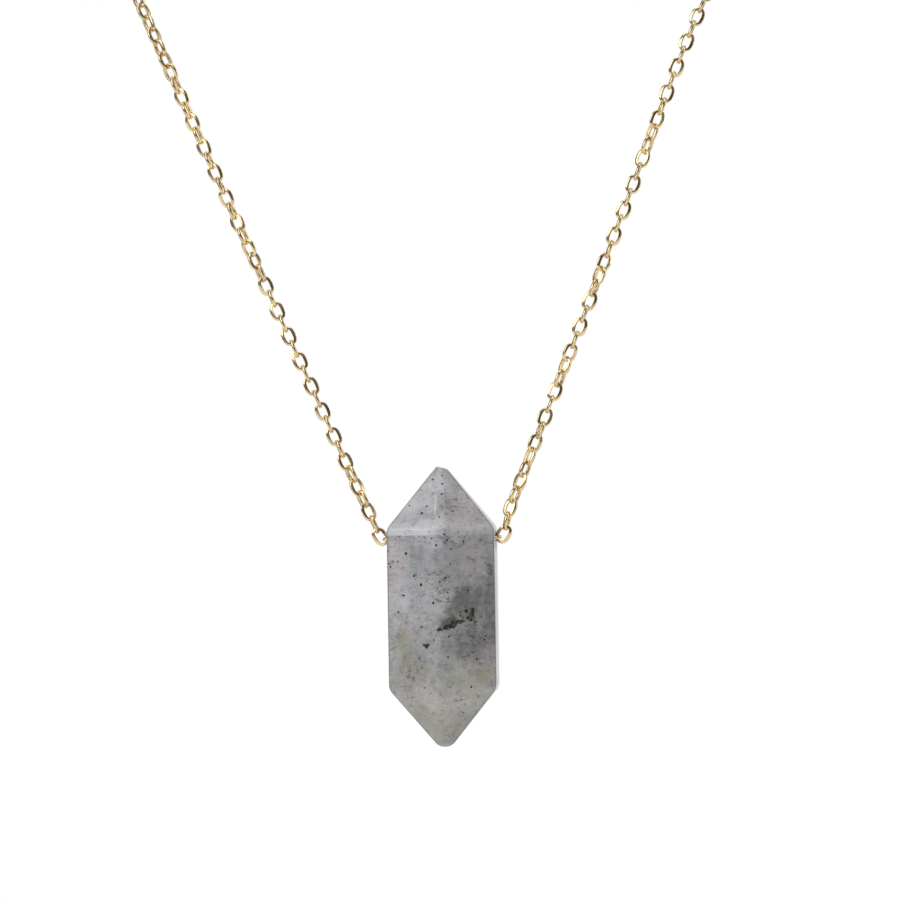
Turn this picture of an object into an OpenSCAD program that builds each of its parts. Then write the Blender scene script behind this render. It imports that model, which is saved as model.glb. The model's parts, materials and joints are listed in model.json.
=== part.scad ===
// Crystal point pendant on a fine oval-link chain.
// A six-sided stone with a point at each end is drilled crosswise below its upper
// shoulder, and the chain runs straight through the drilling and round the neck.
// Millimetres. The origin is at the nape, in the middle of the clasp. +Z is up,
// -Y is the wearer's front and +X is to the right of someone who looks at the stone.

/* [Crystal] */
// Width of the stone between opposite flat sides
crystal_across_flats = 13; // [11:0.5:16]
// Length of the flat sides, from shoulder to shoulder
crystal_side_length = 19.4; // [14:0.2:26]
// Height of the upper point above its shoulder, before the tip is blunted
upper_point_height = 8.05; // [6.5:0.05:9.5]
// Height of the lower point below its shoulder, before the tip is rounded
lower_point_height = 8; // [6.5:0.05:9.5]
// Rounding of the shoulders, where the flat sides turn into the points
shoulder_radius = 1.8; // [0.6:0.1:2.4]
// Rounding of the upright edges between the flat sides
side_edge_radius = 0.4; // [0.2:0.05:1]
// Rounding of the lower tip
lower_tip_radius = 1.5; // [0.6:0.1:2]
// Rounding of the upper tip, under its flat
upper_tip_radius = 0.5; // [0.3:0.05:0.9]
// Depth of the small flat that blunts the upper tip
tip_flat_depth = 0.75; // [0.5:0.05:1.2]
// Slope of that flat, down to the right
tip_flat_slope = 14; // [0:1:20]

/* [Drilling] */
// Distance of the drilling's axis below the upper shoulder
drilling_below_shoulder = 1.6; // [1.5:0.05:3]
// Clearance between the chain and the wall of the drilling
drilling_clearance = 0.2; // [0.12:0.02:0.4]
// Width of the bevel round each mouth of the drilling
drilling_bevel = 0.2; // [0.1:0.05:0.3]

/* [Chain] */
// Length of one link, outside
link_length = 2.42; // [2.36:0.01:2.6]
// Width of one link, outside
link_width = 1.8; // [1.7:0.01:1.9]
// Thickness of the wire of the links
link_wire = 0.31; // [0.28:0.01:0.33]
// Least play between two hooked pieces
link_play = 0.125; // [0.12:0.005:0.16]

/* [Clasp] */
// Width of the clasp's ring, outside
clasp_width = 5.9; // [5.2:0.1:7]
// Thickness of the clasp's ring
clasp_tube = 1.1; // [0.9:0.05:1.3]
// Width of the eye on the clasp, outside
eye_width = 2.3; // [2.1:0.05:2.8]
// Thickness of the eye's wire
eye_wire = 0.5; // [0.4:0.05:0.6]
// Width of the loose end ring, outside
end_ring_width = 3.8; // [3.6:0.1:4.6]
// Thickness of the end ring's wire
end_ring_wire = 0.6; // [0.5:0.05:0.7]

/* [Hidden] */
$fn = 72;

// Where the middle of the drilling lies, seen from the origin at the nape
drilling_at = [0, -88, -88];

// Places along each half of the chain, from the middle of the drilling to the nape:
// x away from the stone's axis, y back from the stone and z above the drilling
half_flats = crystal_across_flats / 2;
ROUTE_RIGHT = [
    [0, 0, 0],
    [half_flats / 2, 0, 0],
    [half_flats - 0.6, 0, 0.05],
    [half_flats + 0.5, 0, 0.2],
    [half_flats + 1.15, 0, 0.7],
    [half_flats + 1.25, 0, 1.8],
    [half_flats + 1.5, 0, 3.2],
    [half_flats + 2.25, 0, 5],
    [half_flats + 5.05, 0, 12],
    [16.85, 0, 25],
    [21.95, 0, 38],
    [26.6, 0, 50],
    [31.2, 0.3, 62],
    [36.8, 4, 73.6],
    [43.4, 16, 81],
    [48.2, 34, 84.2],
    [48.4, 52, 86],
    [41.4, 71.2, 87.4],
    [27.5, 83, 88],
    [10, 88, 88],
    [0, 88, 88]
];
ROUTE_LEFT = [
    [0, 0, 0],
    [half_flats / 2, 0, 0],
    [half_flats - 0.6, 0, 0.05],
    [half_flats + 0.5, 0, 0.1],
    [half_flats + 1.1, 0, 0.6],
    [half_flats + 1.55, 0, 1.8],
    [half_flats + 2.15, 0, 3.2],
    [half_flats + 3, 0, 5],
    [half_flats + 6.05, 0, 12],
    [18.2, 0, 25],
    [23.85, 0, 38],
    [29, 0, 50],
    [34.1, 0.3, 62],
    [39.2, 4, 73.4],
    [44.6, 16, 80.6],
    [47.9, 34, 84],
    [47.8, 52, 86],
    [41, 71, 87.4],
    [27.5, 83, 88],
    [10, 88, 88],
    [0, 88, 88]
];

// How the hanging chain twists. Each row has a distance past the drilling's mouth and
// the turn of the links about the chain there, in degrees.
TWIST_RIGHT = [
    [0, 0], [1.1, 0], [4.2, 30], [9.2, 35], [11.2, 55], [17.6, 88], [19.2, 98], [26.2, 178],
    [31.2, 184], [37.8, 265], [39.4, 270], [47.8, 272], [55, 345], [61.2, 360]
];
TWIST_LEFT = [
    [0, 0], [1.1, 0], [4.2, 28], [6.2, 36], [9.2, 34], [11.8, 12], [14.2, 4], [31.2, 4],
    [34.4, 12], [39.6, 63], [47.8, 84], [54.5, 70], [61.2, 70], [64.6, 43], [71.2, 45]
];

// Facets of the two points. A pair lies on opposite sides of the stone. Each row has
// the pair's direction, then the share of the point's height that each facet takes:
// upper point ahead, upper point behind, lower point ahead, lower point behind.
FACET_PAIRS = [
    [0, 1, 1, 1, 1],
    [60, 1.03, 1.1, 1.02, 0.97],
    [120, 1.03, 1.1, 1.02, 0.97]
];

// Heights along the stone, with the drilling's axis at zero
upper_shoulder = drilling_below_shoulder;
lower_shoulder = upper_shoulder - crystal_side_length;
upper_apex = upper_shoulder + upper_point_height;
lower_apex = lower_shoulder - lower_point_height;

// Room that the links need round the chain's middle line, at any turn
chain_reach = norm([link_width, link_wire]) / 2;
drilling_radius = chain_reach + drilling_clearance;

// Steps of a sweep from one chosen place to the next
SWEEP_STEPS = 14;

function unit(v) = v / norm(v);

// Place on a cubic B-spline segment that four neighbouring points shape
function spline_at(a, b, c, d, t) =
    (pow(1 - t, 3) * a + (3 * pow(t, 3) - 6 * pow(t, 2) + 4) * b
    + (-3 * pow(t, 3) + 3 * pow(t, 2) + 3 * t + 1) * c + pow(t, 3) * d) / 6;

// The same place on the other half of the necklace, which the spline runs on to
function across(p) = [-p[0], p[1], p[2]];

// Even samples of the curve through a half's chosen places
function sweep(route) =
    let (last = len(route) - 1,
         line = concat([across(route[1])], route, [across(route[last - 1])]))
    [for (i = [0 : last - 1])
        for (j = [0 : SWEEP_STEPS - (i == last - 1 ? 0 : 1)])
            spline_at(line[i], line[i + 1], line[i + 2], line[i + 3], j / SWEEP_STEPS)];

// Distance of each sample from the first, measured along the samples
function distances(line) =
    [for (i = 0, s = 0; i < len(line);
          i = i + 1, s = s + (i < len(line) ? norm(line[i] - line[i - 1]) : 0)) s];

// Tables of distance against x, y and z, for lookup
function tables(line) =
    let (s = distances(line))
    [for (column = [0 : 2]) [for (i = [0 : len(line) - 1]) [s[i], line[i][column]]]];

function table_length(t) = t[0][len(t[0]) - 1][0];

// Place on a half of the chain at a distance from the drilling's middle. Below zero
// the chain runs on straight into the other half.
function point_at(t, s) = s < 0
    ? [s, lookup(0, t[1]), lookup(0, t[2])]
    : [lookup(s, t[0]), lookup(s, t[1]), lookup(s, t[2])];

// Distance from the nape to the middle of each half's last link
link_hole = link_length - 2 * link_wire;
clasp_middle_radius = (clasp_width - clasp_tube) / 2;
eye_middle_radius = (eye_width - eye_wire) / 2;
end_ring_middle_radius = (end_ring_width - end_ring_wire) / 2;
eye_x = (clasp_width + eye_width) / 2 - eye_wire / 2;
end_ring_x = clasp_middle_radius - clasp_tube / 2 - link_play - end_ring_wire / 2
    + end_ring_middle_radius;
last_right = eye_x + eye_middle_radius - eye_wire / 2 - link_play + link_hole / 2;
last_left = end_ring_x + end_ring_middle_radius - end_ring_wire / 2 - link_play + link_hole / 2;

// The links in the drilling lie closer together, so that a hook falls at each mouth
link_pitch = link_hole - link_play;
mouth = half_flats + 0.35;
inner_count = ceil(mouth / link_pitch - 0.5);
inner_pitch = 2 * mouth / (2 * inner_count + 1);

// Number and spacing of the links of a half outside the mouth
function outer_count(t, last) = round((table_length(t) - last - mouth) / link_pitch + 0.5);
function outer_pitch(t, last) =
    (table_length(t) - last - mouth) / (outer_count(t, last) - 0.5);

// Each link of a half as its distance from the drilling's middle and its spacing
function links(t, first, last) =
    let (count = outer_count(t, last), pitch = outer_pitch(t, last))
    concat(
        [for (k = [first : inner_count]) [k * inner_pitch, inner_pitch]],
        [for (k = [0 : count - 1]) [mouth + (k + 0.5) * pitch, pitch]]);

// Direction of the chain along a link
function along_link(t, s, reach) = unit(point_at(t, s + reach) - point_at(t, s - reach));

// Side of each link's plane, carried along from link to link without twisting
function carried(n, along) = unit(n - (n * along) * along);
function sides(directions) =
    [for (k = 0, n = [0, -1, 0]; k < len(directions);
          n = carried(n, directions[k]), k = k + 1) carried(n, directions[k])];

// Turn of each link, with every second link a quarter turn on. The twist runs out to the
// turn that lays the last link square to the ring that it hooks into.
function link_turns(t, twist, chain, ahead, last, square_to) =
    let (n = len(chain) - 1,
         along = along_link(t, chain[n][0], chain[n][1] / 2),
         quarters = (n - outer_start(chain)) % 2,
         wanted = atan2(square_to * cross(ahead[n], along), square_to * ahead[n])
             - 90 * quarters,
         end = twist[len(twist) - 1][1],
         reached = wanted + 180 * round((end - wanted) / 180),
         rest = table_length(t) - mouth,
         turns = concat(twist, [[rest - last - 20, reached], [rest, reached]]))
    [for (k = [0 : n])
        lookup(chain[k][0] - mouth, turns) + 90 * ((k - outer_start(chain)) % 2)];

// Index of the first link outside the mouth
function outer_start(chain) = len([for (l = chain) if (l[0] < mouth) 1]);

// Half the distance between the two hooks that a link hangs by. In its own plane a link
// swings about the middles of its rounded ends, and its neighbours span the rest.
function hook_reach(pitch, turn) =
    pitch / 2 - (pitch - link_length + link_width) / 2 * cos(2 * turn);

// Ring of round wire in the XY plane
module wire_ring(middle_radius, wire) {
    rotate_extrude()
        translate([middle_radius, 0])
            circle(d = wire);
}

// Oval link in the XY plane, its length along X
module link() {
    bend = (link_width - link_wire) / 2;
    straight = link_length - link_width;
    for (end = [-1, 1])
        translate([end * straight / 2, 0, 0])
            rotate([0, 0, -90 * end])
                rotate_extrude(angle = 180)
                    translate([bend, 0])
                        circle(d = link_wire);
    for (side = [-1, 1])
        translate([-straight / 2, side * bend, 0])
            rotate([0, 90, 0])
                cylinder(h = straight, d = link_wire);
}

// One half of the chain, each link hung between its two hooks. The last one lies square
// to the ring that it hooks into, whose normal is square_to.
module chain_half(route, twist, first, last, square_to) {
    t = tables(sweep(route));
    chain = links(t, first, last);
    ahead = sides([for (l = chain) along_link(t, l[0], l[1] / 2)]);
    turns = link_turns(t, twist, chain, ahead, last, square_to);
    for (k = [0 : len(chain) - 1]) {
        reach = hook_reach(chain[k][1], turns[k]);
        along = along_link(t, chain[k][0], reach);
        p = (point_at(t, chain[k][0] - reach) + point_at(t, chain[k][0] + reach)) / 2;
        n = carried(cos(turns[k]) * ahead[k] + sin(turns[k]) * cross(ahead[k], along), along);
        b = cross(n, along);
        multmatrix([
            [along[0], b[0], n[0], p[0]],
            [along[1], b[1], n[1], p[1]],
            [along[2], b[2], n[2], p[2]],
            [0, 0, 0, 1]
        ])
            link();
    }
}

// Outline with each corner rounded by an arc of its own radius. The corners run
// anticlockwise and all turn the same way.
module rounded_outline(corners, radii) {
    count = len(corners);
    before = [for (i = [0 : count - 1]) unit(corners[(i + count - 1) % count] - corners[i])];
    after = [for (i = [0 : count - 1]) unit(corners[(i + 1) % count] - corners[i])];
    half_angle = [for (i = [0 : count - 1]) acos(before[i] * after[i]) / 2];
    polygon([
        for (i = [0 : count - 1])
            for (way = [before[i], after[i]])
                corners[i] + way * radii[i] / tan(half_angle[i])
    ]);
    for (i = [0 : count - 1])
        translate(corners[i] + unit(before[i] + after[i]) * radii[i] / sin(half_angle[i]))
            circle(r = radii[i]);
}

// Slab between two opposite flat sides, with the facets of both points on it
module facet_pair(row) {
    reach = crystal_across_flats;
    corners = [
        [half_flats, upper_apex - upper_point_height * row[1]],
        [0, upper_apex],
        [-half_flats, upper_apex - upper_point_height * row[2]],
        [-half_flats, lower_apex + lower_point_height * row[4]],
        [0, lower_apex],
        [half_flats, lower_apex + lower_point_height * row[3]]
    ];
    radii = [
        shoulder_radius, upper_tip_radius, shoulder_radius,
        shoulder_radius, lower_tip_radius, shoulder_radius
    ];
    rotate([0, 0, row[0]])
        rotate([90, 0, 0])
            translate([0, 0, -reach])
                linear_extrude(height = 2 * reach)
                    rounded_outline(corners, radii);
}

// Six-sided bar with rounded upright edges
module side_bar() {
    corner_reach = half_flats / cos(30);
    corners = [for (i = [0 : 5]) corner_reach * [cos(30 + 60 * i), sin(30 + 60 * i)]];
    translate([0, 0, lower_apex])
        linear_extrude(height = upper_apex - lower_apex)
            rounded_outline(corners, [for (i = [0 : 5]) side_edge_radius]);
}

// Six-sided stone with a point at each end, drilled crosswise for the chain
module crystal_point() {
    color([0.67, 0.67, 0.69])
        translate(drilling_at)
            difference() {
                intersection() {
                    side_bar();
                    facet_pair(FACET_PAIRS[0]);
                    facet_pair(FACET_PAIRS[1]);
                    facet_pair(FACET_PAIRS[2]);
                }
                rotate([0, 90, 0])
                    cylinder(h = crystal_across_flats * 2, r = drilling_radius, center = true);
                for (end = [-1, 1])
                    translate([end * half_flats, 0, 0])
                        rotate([0, 90, 0])
                            cylinder(h = 2 * drilling_bevel, center = true,
                                r1 = drilling_radius + (1 - end) * drilling_bevel,
                                r2 = drilling_radius + (1 + end) * drilling_bevel);
                translate([0, 0, upper_apex - tip_flat_depth])
                    rotate([0, tip_flat_slope, 0])
                        translate([0, 0, half_flats])
                            cube(crystal_across_flats, center = true);
            }
}

// Half of the chain on the viewer's right, from the drilling's middle to the clasp's eye
module chain_right() {
    color([0.83, 0.67, 0.35])
        translate(drilling_at)
            chain_half(ROUTE_RIGHT, TWIST_RIGHT, 0, last_right, [0, 0, 1]);
}

// Half of the chain on the viewer's left, from the drilling's middle to the end ring
module chain_left() {
    color([0.83, 0.67, 0.35])
        translate(drilling_at)
            mirror([1, 0, 0])
                chain_half(ROUTE_LEFT, TWIST_LEFT, 1, last_left, [0, 1, 0]);
}

// Plain closed clasp: a round ring and its eye in one piece
module clasp() {
    color([0.83, 0.67, 0.35])
        rotate([90, 0, 0]) {
            wire_ring(clasp_middle_radius, clasp_tube);
            translate([eye_x, 0, 0])
                wire_ring(eye_middle_radius, eye_wire);
        }
}

// Ring that joins the left half of the chain to the clasp
module end_ring() {
    color([0.83, 0.67, 0.35])
        translate([-end_ring_x, 0, 0])
            wire_ring(end_ring_middle_radius, end_ring_wire);
}

crystal_point();
chain_left();
chain_right();
clasp();
end_ring();
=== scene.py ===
"""Crystal point pendant on a fine oval-link chain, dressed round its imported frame."""

import json
import math

import bmesh
import bpy
import numpy as np
from mathutils import Matrix, Vector


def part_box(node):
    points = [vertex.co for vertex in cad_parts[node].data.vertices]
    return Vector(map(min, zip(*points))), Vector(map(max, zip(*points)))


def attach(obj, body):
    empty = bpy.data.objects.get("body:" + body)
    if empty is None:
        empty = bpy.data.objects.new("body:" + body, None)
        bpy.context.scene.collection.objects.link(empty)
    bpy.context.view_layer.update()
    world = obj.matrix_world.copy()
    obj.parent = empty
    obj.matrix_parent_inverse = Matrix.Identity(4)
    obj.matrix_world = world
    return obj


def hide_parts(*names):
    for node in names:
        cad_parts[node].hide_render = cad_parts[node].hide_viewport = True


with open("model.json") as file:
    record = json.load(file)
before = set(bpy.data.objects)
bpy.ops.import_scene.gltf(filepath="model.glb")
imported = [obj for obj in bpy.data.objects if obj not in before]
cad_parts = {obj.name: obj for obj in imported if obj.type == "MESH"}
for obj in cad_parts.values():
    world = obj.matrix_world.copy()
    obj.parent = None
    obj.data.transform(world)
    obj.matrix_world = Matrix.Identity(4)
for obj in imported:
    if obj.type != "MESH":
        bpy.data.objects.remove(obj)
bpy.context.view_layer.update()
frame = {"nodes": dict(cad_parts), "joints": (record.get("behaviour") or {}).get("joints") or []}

bl_info = {
    "name": "Crystal point pendant",
    "version": (1, 0, 0),
    "blender": (4, 5, 0),
    "location": "View3D > Sidebar > Pendant",
    "description": "Stone, oval-link chain, clasp and studio of a crystal point pendant",
    "category": "Add Mesh",
}

MM = 0.001
# The middle of the drilling is where the stone hangs, and its joint says where that is
DRILLING = np.array(frame["joints"][0]["pos_m"])

# Stone, in millimetres: heights are above the middle of the drilling
UPPER_SHOULDER = 1.6
LOWER_SHOULDER = -17.8
UPPER_HEIGHT = 8.05
LOWER_HEIGHT = 8.0
TIP_FLAT_DEPTH = 0.75
TIP_FLAT_SLOPE = math.radians(14)
TIP_FLAT_RIM = 0.05
LOWER_TIP_RADIUS = 1.5
DRILLING_RADIUS = 1.113
DRILLING_BEVEL = 0.2
# How far the drill reaches past the stone, and its columns
DRILL_PAST = 1
DRILL_COLUMNS = 72
# Direction of each flat side in degrees, its share of the upper and of the lower
# point's height, and the rounding of its shoulders
FACETS = np.array([
    [0, 1.0, 1.0, 1.8], [60, 1.03, 1.02, 0.6], [120, 1.03, 1.02, 0.6],
    [180, 1.0, 1.0, 1.8], [240, 1.1, 0.97, 0.6], [300, 1.1, 0.97, 0.6],
])
SIDE_TURNS = np.radians(FACETS[:, 0])
# Power of the mean that rounds the side edges, and the rounder front and back edges
SIDE_EDGE_POWER = 84
FRONT_EDGE_POWER = 11
# Least distance of a side from the axis, so that nothing is divided by zero at the tips
LEAST_REACH = 1e-4
# Edges of the stone that turn by more than this are shaded sharp
SHARP_EDGE = math.radians(40)
# Grid of the stone: columns to a side and how crowded they are at its edges, and rows of
# the lowest band and of those above it. The finer bands reach up from the lower tip, down
# from the upper tip, and from a shoulder towards its point and towards the wall. The last
# row is just below the tip.
SIDE_COLUMNS = 36
CROWDING = 0.6
LOWEST_ROWS = 14
BAND_ROWS = (44, 16, 88, 16, 40, 14)
LOWER_TIP_BAND = 0.6
UPPER_TIP_BAND = 1.1
POINT_BAND = 0.8
WALL_BAND = 0.9
LAST_ROW = 0.05
# Distance from a side edge that is given where none is near
NO_EDGE = 9.0

# Share by which a link's band is slimmer at its ends, and how full its oval is: 2 is an
# ellipse, and a larger number has straighter sides
END_SLIMMING = 0.22
OVAL_POWER = 2.4
LINK_ROWS = 16
# Section of a link's band from its outer edge round: how far out each corner lies, as a
# share of half the band's width, and how far to the front, as a share of half its depth
SECTION_OUT = np.array([1, 0.66, -0.66, -1, -0.66, 0.66])
SECTION_RISE = np.array([0, 1, 1, 0, -1, -1])
# Outward slope and bulge that a link's faces are shaded with, how far out of true the
# shading of single links is turned, and the seed of those turns
FACE_SLOPE = math.radians(14)
FACE_BULGE = math.radians(10)
LINK_BEND = math.radians(4)
LINK_SEED = 4
# Bits of each axis in the number that stands for a corner's place
AXIS_BITS = 21

# Clasp, its eye and the end ring, in millimetres: outer width and thickness of the metal
CLASP_WIDTH = 5.9
CLASP_TUBE = 1.1
EYE_WIDTH = 2.3
EYE_WIRE = 0.5
END_RING_WIDTH = 3.8
END_RING_WIRE = 0.6

# How far the gold of each piece goes towards the browner one where it is worn
TARNISH = {"left": 0.9, "right": 0.45, "clasp": 0.5}

# Camera: the point that it looks at, how far it is swung to the viewer's right, the lean
# of its picture, its lens and film in millimetres, and how near and far it sees
AIM = Vector(DRILLING + np.array([1.12, 0, 10.99]) * MM)
CAMERA_SWING = math.radians(3.2)
CAMERA_LEAN = math.radians(0.9)
LENS = 297.5
FILM_WIDTH = 36
NEAR_AND_FAR = (0.05, 20)
# Round sheet of the floor and the dark card: radii of its rings, and its columns
SHEET_RADII = (0.02, 0.3, 0.6)
SHEET_COLUMNS = 120
FLOOR_MIDDLE = (0, -0.05, -0.2)
# The card hangs behind the camera: its shares of the sheet's width, height and depth, and
# how far it is to the right, up and back from the point that the camera looks at
CARD_SHARES = (1.0, 0.7, 1.0)
CARD_PLACE = (0.4, 0.08, 1.2)
# Soft lights, aimed at a point above the drilling: name, direction round from the front
# and elevation in degrees, distance, width and height in metres, and share of the power
LIGHTS_AIM = Vector(DRILLING + np.array([0, 0, 18]) * MM)
LIGHTS = (
    ("key_upper_left", -43, 20, 1.1, 1.15, 0.6, 1.5),
    ("fill_right", 95, 12, 1.1, 0.4, 0.9, 0.75),
    ("top", 0, 72, 1.0, 0.9, 0.9, 1.2),
)

# Noises of the stone, from wide to fine: features a millimetre, detail, roughness
NOISES = {"cloud": (0.3, 4.0, 0.55), "mottle": (1.1, 3.0, 0.6), "grain": (3.1, 4.0, 0.8)}
# Tones that drift over the whole stone: the noise, where in it the tone starts and where
# it is full, strength, colour
TONES = (
    ("cloud", 0.36, 0.64, 0.3, "shade"), ("mottle", 0.42, 0.7, 0.32, "shade"),
    ("grain", 0.5, 0.72, 0.45, "frost_and_highlight"), ("grain", 0.5, 0.3, 0.28, "shade"),
)
# Marks on the front of the stone, in millimetres across and up from the drilling.
# Dark specks: across, up, radius
SPECKS = (
    (-1.67, -12.55, 0.27), (-2.02, -12.43, 0.15), (-1.42, -12.36, 0.13), (-2.28, -5.11, 0.18),
    (-2.62, -13.99, 0.15), (-2.28, -10.25, 0.13), (-3.13, -4.1, 0.15), (0.65, 0.89, 0.13),
    (0.95, 0.16, 0.13), (1.43, -0.91, 0.15), (2.88, -0.02, 0.12), (-4.11, -1.4, 0.15),
    (-6.25, -2.57, 0.12), (-6.05, -2.98, 0.12), (-5.12, -2.34, 0.12), (1.33, -2.68, 0.13),
    (0.72, -4.36, 0.13), (-0.79, -7.38, 0.15), (-5.15, -8.45, 0.12), (0.03, -4.81, 0.1),
    (0.95, -6.1, 0.1), (3.31, -5.9, 0.12), (-0.31, -0.42, 0.12), (-6.32, -1.06, 0.12),
    (-4.48, -6.46, 0.15), (-4.44, -3.1, 0.1), (-0.76, -11.81, 0.12), (1.03, -11.4, 0.12),
    (5.18, -11.9, 0.13), (5.32, -11.45, 0.12), (-1.96, -17.55, 0.12), (3.56, -17.51, 0.12),
    (0.88, -13.86, 0.1), (2.26, -19.08, 0.13), (2.44, -20.69, 0.12), (4.22, -14.22, 0.12),
    (-3.64, -18.82, 0.1), (0.19, 7.92, 0.13), (-0.9, 7.46, 0.15), (0.26, 6.94, 0.13),
    (0.25, 5.69, 0.15), (-1.58, 4.26, 0.13), (-2.16, 3.44, 0.17), (1.59, 3.62, 0.12),
    (0.06, 2.99, 0.13), (-3.71, 4.38, 0.12), (3.1, -8.39, 0.23), (3.9, -8.35, 0.16),
    (3.85, -8.95, 0.17), (3.64, -9.44, 0.17), (2.28, 1, 0.09), (-0.9, 0.41, 0.1),
    (3.25, -9.2, 0.2), (3.8, -8.15, 0.15), (2.4, -8.95, 0.12), (4.15, -9.7, 0.15),
    (1.45, -9.65, 0.2), (0.75, -10.35, 0.18), (1.3, -10.1, 0.2),
)
# Stains: across, up, half width, half height, turn in degrees, colour, strength
STAINS = (
    # The first two, pale and just above the upper shoulder, are a painted highlight on the band
    # there
    (-3.3, 1.75, 3.4, 1.0, 0, "frost_and_highlight", 0.3), (3.4, 1.7, 2.8, 0.9, 0, "frost_and_highlight", 0.25),
    (-4.9, -5.2, 1.6, 3.2, 0, "frost_and_highlight", 0.2), (-0.6, -7.0, 1.5, 1.7, 0, "frost_and_highlight", 0.08),
    (-5.3, -2.4, 1.3, 3.0, 0, "rose", 0.6), (0.3, -19.6, 2.6, 1.2, 0, "frost_and_highlight", 0.25),
    (-0.2, -1.9, 3.4, 1.5, 0, "slate", 0.6), (0.1, -3.6, 2.8, 1.3, 0, "slate", 0.35),
    (0.6, -15.2, 1.6, 2.4, 0, "slate", 0.35), (1.2, -12.9, 2.2, 1.3, 0, "slate", 0.4),
    (3.7, -6.8, 2.6, 2.4, 0, "shade", 0.8), (3.9, -12.0, 3.0, 2.5, 0, "shade", 0.7),
    (6.1, -7.5, 1.2, 5.5, 0, "shade", 0.85), (4.0, -1.4, 2.8, 2.0, 0, "shade", 0.4),
    (-4.5, -11.9, 1.1, 1.4, 0, "moss", 0.75), (-3.4, -14.4, 1.6, 2.6, 20, "moss", 0.6),
    (5.1, -16.1, 1.1, 1.5, 0, "moss", 0.75), (0.2, -22.0, 5.5, 3.6, 0, "moss", 0.3),
    (2.7, -8.9, 2.0, 0.8, 12, "moss", 0.5), (2.9, -7.9, 1.9, 1.2, 15, "shade", 0.65),
    (-2.6, -20.2, 1.0, 0.7, 0, "moss", 0.5), (-3.3, -14.8, 1.7, 2.2, 10, "shade", 0.22),
    (1.4, -23.4, 0.9, 1.0, 0, "shade", 0.2), (2.6, -17.2, 2.4, 1.6, 0, "moss", 0.35),
    (1.8, -8.9, 2.1, 1.1, 20, "shade", 0.65), (0.95, -9.75, 1.15, 0.57, 35, "speck_and_edge_shade", 0.5),
    (0.05, -10.5, 0.55, 0.26, 15, "speck_and_edge_shade", 1.0), (1.2, -10.15, 0.95, 0.34, 20, "speck_and_edge_shade", 1.0),
    (2.4, -9.6, 0.9, 0.28, 10, "speck_and_edge_shade", 0.9), (2.6, -9.25, 0.9, 0.16, -20, "moss", 0.7),
    (3.65, -9.25, 0.55, 0.45, 0, "speck_and_edge_shade", 0.65), (3.8, -8.6, 0.26, 0.5, -10, "speck_and_edge_shade", 1.0),
    (-2.4, 5.4, 2.2, 1.8, 45, "frost_and_highlight", 0.4), (-1.0, 7.0, 1.6, 1.4, 0, "frost_and_highlight", 0.3),
    (-3.0, -3.5, 1.6, 2.9, 0, "slate", 0.42), (2.9, -3.0, 2.0, 2.2, 0, "shade", 0.27),
    (-1.5, -8.3, 1.3, 2.0, 0, "slate", 0.3), (-2.5, -12.9, 1.5, 1.9, 0, "slate", 0.6),
    (2.2, -10.9, 1.6, 0.9, 0, "shade", 0.25), (4.0, -11.8, 1.9, 2.9, 0, "shade", 0.25),
    (-4.3, 3.6, 1.6, 1.2, 45, "frost_and_highlight", 0.35), (-0.4, -0.3, 1.0, 0.9, 0, "frost_and_highlight", 0.2),
    (-5.6, -0.6, 1.4, 0.8, 0, "frost_and_highlight", 0.25), (-4.4, -7.2, 0.9, 0.9, 0, "frost_and_highlight", 0.3),
    (3.7, -2.0, 2.2, 2.0, 0, "rose", 0.4), (2.6, 3.4, 1.6, 2.0, 0, "rose", 0.3),
)
# Patches full of small dark marks: across, up, half width, half height
ROUGH_PATCHES = (
    (1.4, 4.6, 1.5, 1.4), (-1.2, 0.1, 1.9, 0.5), (-0.8, -4.2, 3.4, 0.6), (0.5, -6.4, 2.6, 1.3),
    (3.9, -11.2, 3.0, 1.6), (3.4, -13.8, 1.6, 0.8), (-3.6, -15.3, 1.7, 1.6), (2.6, -19.4, 1.6, 0.8),
    (-4.6, -8.6, 0.8, 0.6), (5.9, -3.6, 0.8, 2.0), (3.7, -8.9, 1.6, 1.3), (4.0, -1.6, 0.7, 0.6),
    (-6.0, -2.6, 0.5, 1.2),
)
# A stain whose smaller half is below this is torn, and a larger one fades out
TORN_BELOW = 0.6
# How deep into the stone a torn stain, and a soft stain or a patch, reach
TORN_DEPTH = 2.5
SOFT_DEPTH = 5.0

# In each pair from here on, a tone has faded out at the first value and is full at the
# second. Outlines of torn and of soft stains and of patches, as shares of half sizes
TORN_FADE = (1.15, 0.75)
SOFT_FADE = (1.5, 0.3)
PATCH_FADE = (1.4, 0.6)
# Where the front begins, going forwards, and the warmer colour of the lower point, going
# down, in millimetres from the drilling, and how near to a side edge painted shade is laid
FRONT_FADE = (0.5, -0.5)
WARM_FADE = (-6.0, -20.0)
EDGE_SHADE_FADE = (0.26, 0.06)
# Painted light and shade of the step across the front, in millimetres from the drilling:
# its line, the band of painted shade below it, and the band of painted highlight above it,
# for which the line is turned round, stronger on the left
STEP_LINE = (0.84, 0.74)
STEP_BELOW = (-1.9, 0.6)
STEP_ABOVE = (3.2, 1.0)
STEP_LEFT = (1.0, -1.5)
# Painted highlight along the ridge of the upper point: its two sides, foot and top, and
# the outer side, foot and top of the painted shade on its right
RIDGE_LEFT = (-0.75, -0.5)
RIDGE_RIGHT = (-0.3, -0.42)
RIDGE_FOOT = (3.0, 3.8)
RIDGE_TOP = (6.0, 5.4)
SHADE_RIGHT = (3.2, 0.4)
SHADE_FOOT = (2.6, 3.8)
SHADE_TOP = (6.1, 5.6)


def round_turns(count):
    """Directions of so many even steps round a circle, in radians."""
    return np.radians(np.arange(count) * 360 / count)


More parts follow.
